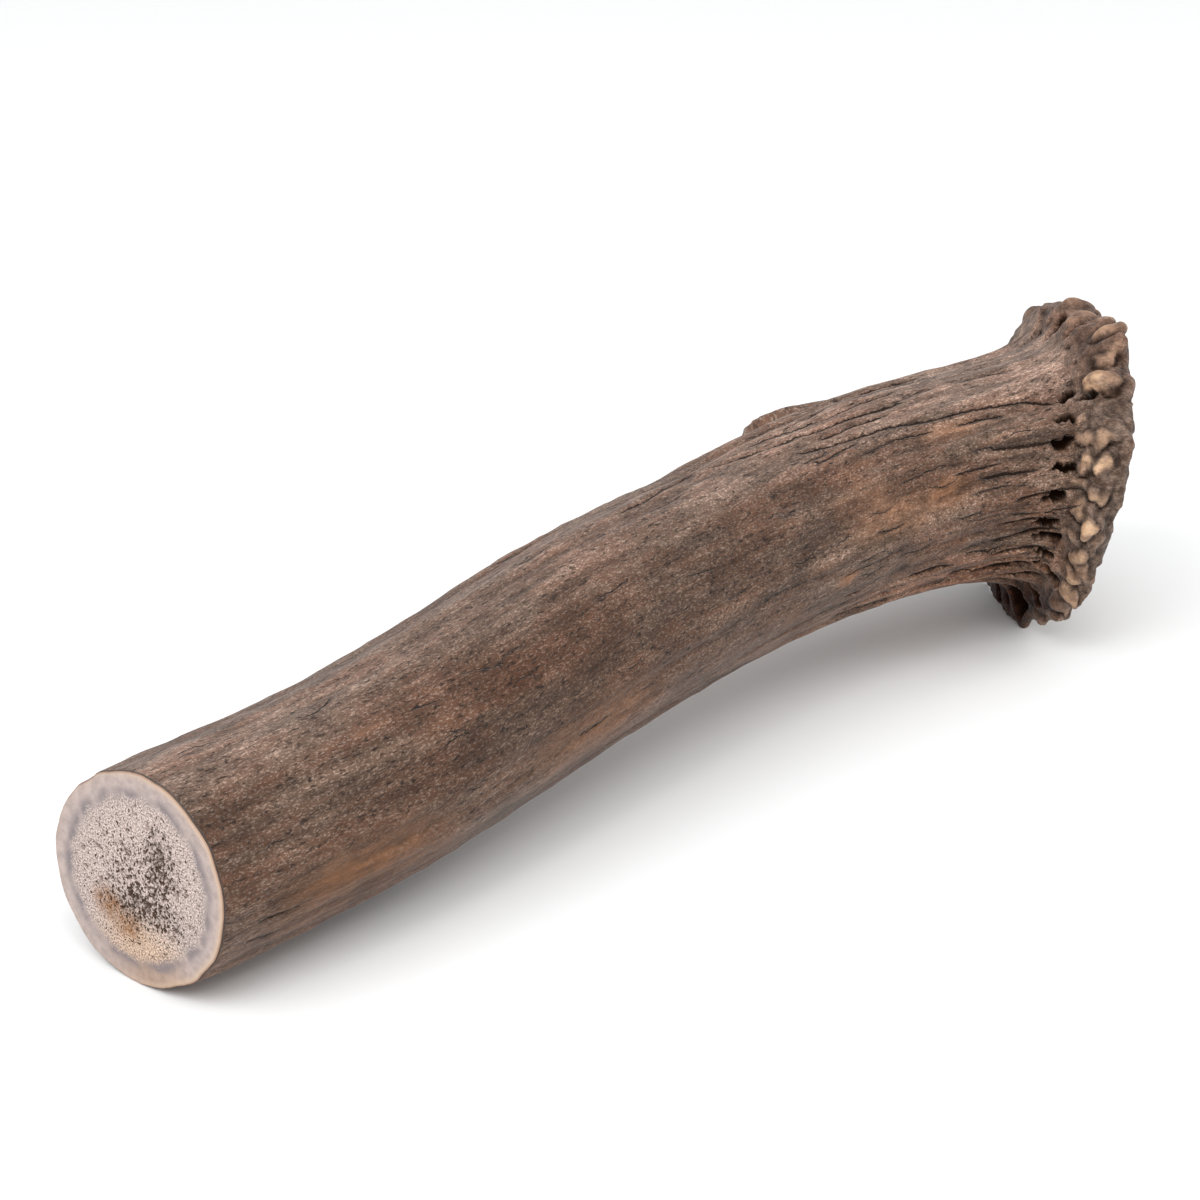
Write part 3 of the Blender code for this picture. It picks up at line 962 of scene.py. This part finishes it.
class Shader:
    """Builds a material's nodes. A value is a number, a colour or another node's output."""

    def __init__(self, name):
        self.material = bpy.data.materials.new(name)
        self.material.use_nodes = True
        self.tree = self.material.node_tree
        self.principled = self.tree.nodes["Principled BSDF"]

    def set_input(self, socket, value):
        """Links a node's output to a socket, or sets the socket to a constant."""
        if isinstance(value, bpy.types.NodeSocket):
            self.tree.links.new(value, socket)
        elif isinstance(value, tuple) and socket.type == "RGBA":
            socket.default_value = (*value, 1)
        else:
            socket.default_value = value

    def node(self, kind, inputs, output=0, **settings):
        """A new node with its inputs and settings; gives one of its outputs."""
        node = self.tree.nodes.new(kind)
        for name, value in settings.items():
            setattr(node, name, value)
        for key, value in inputs.items():
            self.set_input(node.inputs[key], value)
        return node.outputs[output]

    def attribute(self, name, output="Fac"):
        """What the mesh stores on its points under that name."""
        return self.node("ShaderNodeAttribute", {}, output, attribute_name=name)

    def math(self, operation, first, second=0.0):
        """One sum with two values."""
        return self.node("ShaderNodeMath", {0: first, 1: second}, operation=operation)

    def add(self, first, *others):
        """The sum of the values."""
        for other in others:
            first = self.math("ADD", first, other)
        return first

    def times(self, first, *others):
        """The product of the values."""
        for other in others:
            first = self.math("MULTIPLY", first, other)
        return first

    def gain(self, value, amount):
        """1 where the value is 0, and more by the amount where it is 1."""
        return self.add(1.0, self.times(value, amount))

    def swing(self, noise, amount):
        """How far noise is from its middle, times the amount."""
        return self.times(self.add(noise, -0.5), amount)

    def part(self, vector, axis):
        """One axis of a vector."""
        return self.node("ShaderNodeSeparateXYZ", {"Vector": vector}, axis)

    def stretched(self, vector, *factors):
        """The vector with each axis multiplied by its factor."""
        return self.node("ShaderNodeVectorMath", {0: vector, 1: factors}, operation="MULTIPLY")

    def moved(self, vector, offset):
        """The vector with the offset added."""
        return self.node("ShaderNodeVectorMath", {0: vector, 1: offset}, operation="ADD")

    def noise(self, vector, size, detail, roughness, distortion=0.0):
        """Noise with features about that many mm across."""
        values = {"Vector": vector, "Scale": 1 / size, "Detail": detail}
        values.update({"Roughness": roughness, "Distortion": distortion})
        return self.node("ShaderNodeTexNoise", values, "Fac")

    def cells(self, vector, size):
        """Distance from the nearest of points scattered that many mm apart, in those units."""
        values = {"Vector": vector, "Scale": 1 / size}
        return self.node("ShaderNodeTexVoronoi", values, "Distance", voronoi_dimensions="2D")

    def ramp(self, value, low, high, to_low=0.0, to_high=1.0, kind="SMOOTHSTEP"):
        """Maps low..high to to_low..to_high, held at both ends."""
        values = {"Value": value, "From Min": low, "From Max": high}
        values.update({"To Min": to_low, "To Max": to_high})
        return self.node("ShaderNodeMapRange", values, interpolation_type=kind)

    def mix(self, share, first, second, blend="MIX"):
        """Mixes two colours."""
        node = self.tree.nodes.new("ShaderNodeMix")
        node.data_type = "RGBA"
        node.blend_type = blend
        self.set_input(node.inputs[0], share)
        self.set_input(node.inputs[6], first)
        self.set_input(node.inputs[7], second)
        return node.outputs[2]

    def tinted(self, colour, tint):
        """The colour multiplied by another."""
        return self.mix(1.0, colour, tint, "MULTIPLY")

    def scaled(self, colour, brightness):
        """The colour with its brightness multiplied."""
        values = {0: colour, "Scale": brightness}
        return self.node("ShaderNodeVectorMath", values, operation="SCALE")

    def blob(self, vector, centre, size):
        """1 at the centre of a soft-edged spot of that size in mm, 0 outside it."""
        near = self.moved(vector, tuple(-c for c in centre))
        near = self.stretched(near, *(1 / s for s in size))
        length = self.node("ShaderNodeVectorMath", {0: near}, "Value", operation="LENGTH")
        return self.ramp(length, 1.0, 0.15)

    def finish(self, colour, roughness, height, specular):
        """Joins colour, roughness, a height in mm and shine to the Principled node."""
        values = {"Strength": 1.0, "Distance": MM, "Height": height}
        bump = self.node("ShaderNodeBump", values, "Normal")
        self.set_input(self.principled.inputs["Base Color"], colour)
        self.set_input(self.principled.inputs["Roughness"], roughness)
        self.set_input(self.principled.inputs["Normal"], bump)
        self.set_input(self.principled.inputs["Specular IOR Level"], specular)
        return self.material


class Bark(Shader):
    """What the weathered skin's colour and relief are made from."""

    def __init__(self):
        super().__init__("antler_bark")
        self.grain = self.attribute("grain", "Vector")
        self.hollow, self.relief = self.attribute("hollow"), self.attribute("relief")
        self.polish, self.cavity = self.attribute("polish"), self.attribute("cavity")
        self.burr, self.seal = self.attribute("burr"), self.attribute("seal")

        self.fine = self.fibre(0.45, 0.27, 2, 0.6, 0.5)
        self.specks = self.fibre(0.35, 0.55, 3, 0.65, 0.5)
        self.flecks = self.fibre(0.35, 1.5, 3, 0.6)
        self.patches = self.fibre(0.28, 5.0, 3, 0.6)
        self.streaks = self.fibre(0.08, 1.7, 3, 0.55)
        self.clouds = self.fibre(0.28, 9.0, 3, 0.6)
        self.ridges = self.fibre(0.06, 3.4, 2, 0.5)
        self.lumps = self.noise(self.grain, 1.8, 3, 0.6)

        self.along, self.upward = self.part(self.grain, "X"), self.part(self.grain, "Y")
        self.above = self.ramp(self.upward, 13.5, 20.5)
        self.below = self.ramp(self.upward, -4, -16)
        self.near_burr = self.ramp(self.along, 90, 190)
        self.near_cut = self.ramp(self.along, 45, 5)

    def fibre(self, stretch, *values):
        """Noise drawn out along the grain."""
        return self.noise(self.stretched(self.grain, stretch, 1, 1), *values)


def crack_lines(s):
    """Thin wiggly drying cracks, drawn where one is nearer than its half width."""
    wiggle = s.swing(s.fibre(0.7, 1.1, 2, 0.6), 1.1)
    away = s.math("ABSOLUTE", s.add(s.attribute("gap"), wiggle))
    inside = s.math("SUBTRACT", s.attribute("half_width"), away)
    return s.ramp(inside, -0.05, 0.04)


def brightness(s):
    """How light the bark is: more on crests, on top, and towards both ends. Random streaks, flecks,
    patches and ridges vary it, and it rises towards the burr. The rest is painted light and shade:
    painted shade in hollows and low relief, painted light on crests and on top, and painted bounce
    light on the underside near both ends.
    """
    # Painted light on top and painted bounce light underneath, near the cut.
    painted_end_light = s.times(s.add(s.above, s.times(s.below, 0.6)), s.near_cut, 0.4)
    return s.times(
        s.add(1.0, s.swing(s.streaks, s.add(1.3, s.times(s.near_burr, 1.4)))),
        s.ramp(s.flecks, 0.3, 0.7, 0.82, 1.18),
        s.gain(s.near_burr, 0.22),
        # Painted light: the top lighter.
        s.gain(s.above, 0.5),
        # Painted bounce light on the underside near the burr, with the painted light near the cut.
        s.add(1.0, s.times(s.below, s.near_burr, 0.35), painted_end_light),
        # Painted shade in hollows and painted light on crests.
        s.ramp(s.cavity, 0.35, -0.35, 0.68, 1.24),
        s.ramp(s.patches, 0.3, 0.7, 0.84, 1.16),
        s.ramp(s.ridges, 0.3, 0.7, 0.84, 1.16),
        # Painted shade where the relief is low, and painted light where it is high.
        s.ramp(s.relief, -0.6, 0.5, 0.82, 1.1),
    )


def ground(s, tone_and_painted_light):
    """Brown and grey bark with pale and dark specks, and a painted sheen on top."""
    hue = s.add(s.times(s.clouds, 0.5), s.times(s.patches, 0.25), s.times(s.flecks, 0.25))
    colour = s.mix(s.ramp(hue, 0.42, 0.58), BARK_BROWN, BARK_GREY)
    # Painted sheen: the top greyer and paler, most near the cut.
    painted_top_sheen = s.times(s.above, s.add(0.3, s.times(s.near_cut, 0.25)))
    colour = s.mix(painted_top_sheen, colour, BARK_TOP_SHEEN)
    colour = s.mix(s.ramp(s.fine, 0.5, 0.66, 0, 0.7), colour, BARK_PALE)
    colour = s.mix(s.ramp(s.specks, 0.5, 0.3, 0, 0.95), colour, BARK_DARK)
    return s.scaled(colour, tone_and_painted_light)


def stains(s, table, broken_by):
    """How strong each stain is, with noise to break it up."""
    for x, angle, length, width, strength in table:
        turn = math.radians(angle)
        centre = (x, STAIN_RADIUS * math.cos(turn), STAIN_RADIUS * math.sin(turn))
        spot = s.times(s.blob(s.grain, centre, (length, width, width)), strength)
        yield s.times(spot, s.ramp(broken_by, 0.3, 0.6, 0.5, 1.0))


def with_stains(s, colour, tone_and_painted_light):
    """Dark stains, a warmer underside and warm stains."""
    for spot in stains(s, DARK_STAINS, s.patches):
        colour = s.mix(spot, colour, s.tinted(colour, STAIN_TINT))
    warmth = s.times(s.below, s.add(0.6, s.times(s.near_cut, 0.6)))
    colour = s.mix(warmth, colour, s.tinted(colour, WARM_TINT))
    for spot in stains(s, WARM_STAINS, s.flecks):
        colour = s.mix(spot, colour, s.scaled(BARK_WARM, s.times(tone_and_painted_light, 1.1)))
    return colour


def with_burr(s, colour):
    """The burr, dark between its worn tan knobs, where painted shade falls in the hollows, and darkest
    underneath, where painted shade falls.
    """
    tone = s.mix(s.ramp(s.lumps, 0.35, 0.65), BURR_DARK, BURR_LIGHT)
    tone = s.scaled(tone, s.ramp(s.fine, 0.3, 0.7, 0.7, 1.3))
    # Painted shade in hollows and painted light on crests.
    tone = s.scaled(tone, s.ramp(s.cavity, 0.5, -0.5, 0.35, 1.6))
    crest = s.times(s.ramp(s.upward, 17, 27), 0.8)
    tone = s.mix(crest, tone, s.tinted(tone, CREST_TINT))
    colour = s.mix(s.times(s.burr, 0.8), colour, tone)
    worn = s.times(
        s.polish,
        s.ramp(s.lumps, 0.3, 0.6, 0.5, 1.0),
        s.ramp(s.cavity, 0.3, -0.1, 0.25, 1.0),
    )
    tan = s.times(s.ramp(s.flecks, 0.35, 0.6), s.ramp(s.polish, 0.2, 0.9, 0.35, 1.0))
    knob = s.mix(tan, KNOB_BROWN, KNOB_TAN)
    knob = s.scaled(knob, s.ramp(s.specks, 0.3, 0.55, 0.7, 1.06))
    colour = s.mix(worn, colour, knob)
    # Painted shade under the burr.
    under = s.times(
        s.ramp(s.upward, -14, -24),
        s.ramp(s.along, 196, 207),
        s.ramp(s.along, 214, 210),
    )
    return s.mix(under, colour, s.tinted(colour, UNDER_BURR_SHADE))


def with_hollows(s, colour, cracks):
    """Cracks, nearly black, and painted shade, nearly black, in pits, creases and crack grooves."""
    colour = s.mix(s.times(cracks, 0.9), colour, HOLLOW_BROWN)
    # Painted shade in the hollows.
    ragged = s.times(s.add(s.lumps, -0.5), s.ramp(s.hollow, 0, 0.3), 0.5)
    sunk = s.ramp(s.add(s.hollow, ragged), 0.08, 0.95)
    return s.mix(sunk, colour, HOLLOW_BROWN)


def with_seal(s, colour):
    """The seal's rough bone, with painted shade in its hollows and painted light on its nodules."""
    share = s.add(s.times(s.lumps, 0.5), s.times(s.fine, 0.5))
    bone = s.mix(s.ramp(share, 0.36, 0.64), SEAL_DARK, SEAL_BONE)
    # Painted light on high relief and painted shade in hollows.
    bone = s.scaled(bone, s.ramp(s.relief, -0.4, 0.9, 0.72, 1.2))
    bone = s.scaled(bone, s.ramp(s.cavity, 0.25, -0.25, 0.62, 1.25))
    return s.mix(s.seal, colour, bone)


def worn_height(s, cracks):
    """The finest relief in mm, worn down where the knobs are polished."""
    smooth = s.ramp(s.polish, 0.1, 0.8, 1.0, 0.3)
    return s.add(
        s.times(s.fine, smooth, 0.16),
        s.times(s.specks, smooth, 0.3),
        s.times(s.flecks, smooth, 0.22),
        s.times(s.streaks, 0.4),
        s.times(s.lumps, s.burr, smooth, 0.5),
        s.times(cracks, -0.25),
    )


def bark_material():
    """Weathered antler: grey-brown with furrows darkened by painted shade, and polished tan knobs on
    the burr.
    """
    s = Bark()
    tone_and_painted_light, cracks = brightness(s), crack_lines(s)
    colour = with_stains(s, ground(s, tone_and_painted_light), tone_and_painted_light)
    colour = with_hollows(s, with_burr(s, colour), cracks)
    colour = with_seal(s, colour)
    roughness = s.add(s.ramp(s.specks, 0.3, 0.7, 0.62, 0.82), s.times(s.polish, -0.34))
    specular = s.add(s.ramp(s.hollow, 0, 0.5, 0.22, 0.03), s.times(s.polish, 0.4))
    for name, value in SHEEN.items():
        s.set_input(s.principled.inputs[name], value)
    return s.finish(colour, roughness, worn_height(s, cracks), specular)


class Sawn(Shader):
    """What the sawn faces' colour and relief are made from."""

    def __init__(self):
        super().__init__("antler_sawn")
        self.flat, self.inward = self.attribute("flat", "Vector"), self.attribute("inward")
        self.fine = self.noise(self.flat, 0.3, 3, 0.65)
        self.mottle = self.noise(self.flat, 1.6, 3, 0.6)
        self.depth = self.add(
            self.inward,
            self.swing(self.noise(self.flat, 5.0, 2, 0.5), 2.0),
            self.swing(self.mottle, 1.0),
            self.swing(self.fine, 1.2),
        )
        self.in_core = self.ramp(self.depth, 3.8, 6.0)
        # Where the spongy core is most open.
        self.right = self.patch(5.0, 4.2, 5.0, 7.5)
        self.band = self.patch(1, -4.5, 13, 4.5)

    def patch(self, across, up, width, height):
        """A soft-edged spot on the sawn face."""
        return self.blob(self.flat, (across, up, 0), (width, height, 1))


def core_holes(s):
    """The spongy core's pores: two sizes drawn here, and the mesh's own."""
    shaken = s.noise(s.moved(s.flat, (0, 70, 0)), 0.6, 1, 0.5, 1.5)
    crowd = s.add(
        s.times(s.right, 0.17),
        s.times(s.patch(0, -0.5, 13, 11), 0.13),
        s.times(s.band, 0.14),
        0.05,
        s.swing(s.mottle, 0.5),
        s.swing(shaken, 0.7),
    )
    small = s.math("SUBTRACT", crowd, s.cells(s.flat, 0.6))
    large = s.math("SUBTRACT", crowd, s.cells(s.stretched(s.flat, 1, 0.8, 1), 1.05))
    small, large = s.ramp(small, -0.05, 0.05), s.ramp(large, -0.04, 0.04)
    holes = s.math("MAXIMUM", s.times(small, 0.85), large)
    return s.times(s.math("MAXIMUM", holes, s.attribute("pore")), s.in_core)


def sawn_wall(s):
    """The compact wall: ivory, creamier below and at its edge."""
    ivory = s.mix(s.times(s.patch(2.0, -14.0, 13, 8), 0.9), IVORY, IVORY_CREAM)
    ivory = s.scaled(ivory, s.ramp(s.mottle, 0.3, 0.7, 0.84, 1.12))
    side = s.ramp(s.part(s.flat, "X"), -14, 12, 0.15, 0.75)
    return s.mix(s.times(s.ramp(s.inward, 1.5, 0.3), side), ivory, EDGE_CREAM)


def sawn_core(s):
    """The spongy core between its pores, with an ochre stain and dust."""
    core = s.mix(s.patch(0, -12, 15, 9), CORE_LIGHT, CORE_CREAM)
    core = s.scaled(core, s.ramp(s.fine, 0.35, 0.65, 0.42, 1.5))
    ochre = s.math(
        "MAXIMUM", s.patch(-7.5, -6.2, 5.5, 4.2), s.patch(-3.5, -8.3, 5.5, 3.8)
    )
    ochre = s.times(ochre, s.ramp(s.mottle, 0.35, 0.6, 1.0, 0.6), 0.95)
    stain = s.scaled(STAIN_OCHRE, s.ramp(s.fine, 0.3, 0.7, 0.45, 1.5))
    core = s.mix(ochre, core, stain)
    dust = s.math("MAXIMUM", s.times(s.band, 0.8), s.times(s.right, 0.6))
    return s.scaled(core, s.ramp(dust, 0, 1, 1.0, 0.75, kind="LINEAR"))


def sawn_ring(s, ivory):
    """The grey translucent ring between wall and core, patchy."""
    patchy = s.noise(s.moved(s.flat, (30, 0, 0)), 4.5, 2, 0.6)
    return s.mix(s.ramp(patchy, 0.35, 0.6, 0.25, 1.0), ivory, RING_GREY)


def stump_weathered(s, colour):
    """The stump's face, greyed like the bark."""
    grey = s.scaled(BARK_GREY, s.ramp(s.fine, 0.3, 0.7, 0.6, 1.2))
    return s.mix(s.times(s.attribute("stump"), 0.85), colour, grey)


def sawn_material():
    """Sawn antler: a pale compact wall, a grey translucent ring and a spongy core."""
    s = Sawn()
    ivory, holes = sawn_wall(s), core_holes(s)
    colour = s.mix(s.ramp(s.depth, 1.9, 3.6), ivory, sawn_ring(s, ivory))
    colour = s.mix(s.ramp(s.depth, 3.2, 5.0), colour, sawn_core(s))
    # Painted shade: the pores, also sunk in the mesh, drawn near black.
    colour = s.mix(s.times(holes, 0.92), colour, CORE_DARK)
    colour = s.mix(s.ramp(s.inward, 0.5, 0.1, 0, 0.8), colour, RIM_BROWN)
    colour = stump_weathered(s, colour)
    height = s.add(
        s.times(holes, -0.35), s.times(s.fine, 0.12), s.times(s.mottle, s.in_core, 0.3)
    )
    roughness = s.ramp(s.depth, 3.0, 5.0, 0.5, 0.75)
    return s.finish(colour, roughness, height, s.ramp(holes, 0, 1, 0.35, 0.0))


# --- Room ---


def floor():
    """A plain white floor."""
    mesh = bpy.data.meshes.new("floor")
    corners = [(x * FLOOR_HALF, y * FLOOR_HALF, 0) for x, y in ((-1, -1), (1, -1), (1, 1), (-1, 1))]
    mesh.from_pydata(corners, [], [(0, 1, 2, 3)])
    material = bpy.data.materials.new("floor")
    material.use_nodes = True
    shader = material.node_tree.nodes["Principled BSDF"]
    shader.inputs["Base Color"].default_value = FLOOR_WHITE
    shader.inputs["Roughness"].default_value = 0.9
    shader.inputs["Specular IOR Level"].default_value = 0.1
    mesh.materials.append(material)
    plane = bpy.data.objects.new("floor", mesh)
    bpy.context.scene.collection.objects.link(plane)
    return plane


def softbox(name, place, power):
    """A round area light that faces the antler."""
    data = bpy.data.lights.new(name, "AREA")
    data.shape = "DISK"
    data.size = SOFTBOX_SIZE
    data.energy = power
    light = bpy.data.objects.new(name, data)
    light.location = place
    light.rotation_euler = (-Vector(place)).to_track_quat("-Z", "Y").to_euler()
    bpy.context.scene.collection.objects.link(light)


def lights():
    """Large softboxes round the camera's side and a weaker one behind, in an even white room."""
    for name, (place, power) in SOFTBOXES.items():
        softbox(name, place, power)
    world = bpy.data.worlds.new("room")
    world.use_nodes = True
    background = world.node_tree.nodes["Background"]
    background.inputs["Color"].default_value = (1, 1, 1, 1)
    background.inputs["Strength"].default_value = ROOM_STRENGTH
    bpy.context.scene.world = world


def camera(cut_centre):
    """A long lens from the sawn end, looking down along the antler."""
    back = Vector(facing(CAMERA_AZIMUTH - 90, CAMERA_ELEVATION))
    data = bpy.data.cameras.new("camera")
    data.lens = CAMERA_LENS
    data.dof.use_dof = False
    view = bpy.data.objects.new("camera", data)
    roll = Matrix.Rotation(math.radians(CAMERA_ROLL), 3, "Z")
    turn = back.to_track_quat("Z", "Y").to_matrix() @ roll
    place = Vector((cut_centre + np.array(CAMERA_FROM_CUT)) * MM)
    view.matrix_world = Matrix.Translation(place) @ turn.to_4x4()
    bpy.context.scene.collection.objects.link(view)
    bpy.context.scene.camera = view


def plain(bounds):
    """Bounds as plain lists of numbers."""
    return [[float(value) for value in corner] for corner in bounds]


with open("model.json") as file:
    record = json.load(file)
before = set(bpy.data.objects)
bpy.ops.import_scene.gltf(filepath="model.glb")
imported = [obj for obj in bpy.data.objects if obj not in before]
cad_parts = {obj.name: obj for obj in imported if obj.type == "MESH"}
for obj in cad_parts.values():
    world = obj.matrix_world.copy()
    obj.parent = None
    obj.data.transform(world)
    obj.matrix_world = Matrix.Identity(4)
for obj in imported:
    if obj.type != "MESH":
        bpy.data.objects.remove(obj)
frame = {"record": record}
cad_bounds = plain(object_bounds())
cut_centre = np.array(frame["record"]["mounts"][0]["pos_m"]) / MM
antler = make_antler(cut_centre)
antler.data.materials.append(bark_material())
antler.data.materials.append(sawn_material())
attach(antler, "root")
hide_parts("antler")
floor()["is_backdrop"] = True
lights()
camera(cut_centre)
bpy.context.scene.view_settings.view_transform = "Standard"
{"cad": cad_bounds, "visual": plain(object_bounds())}
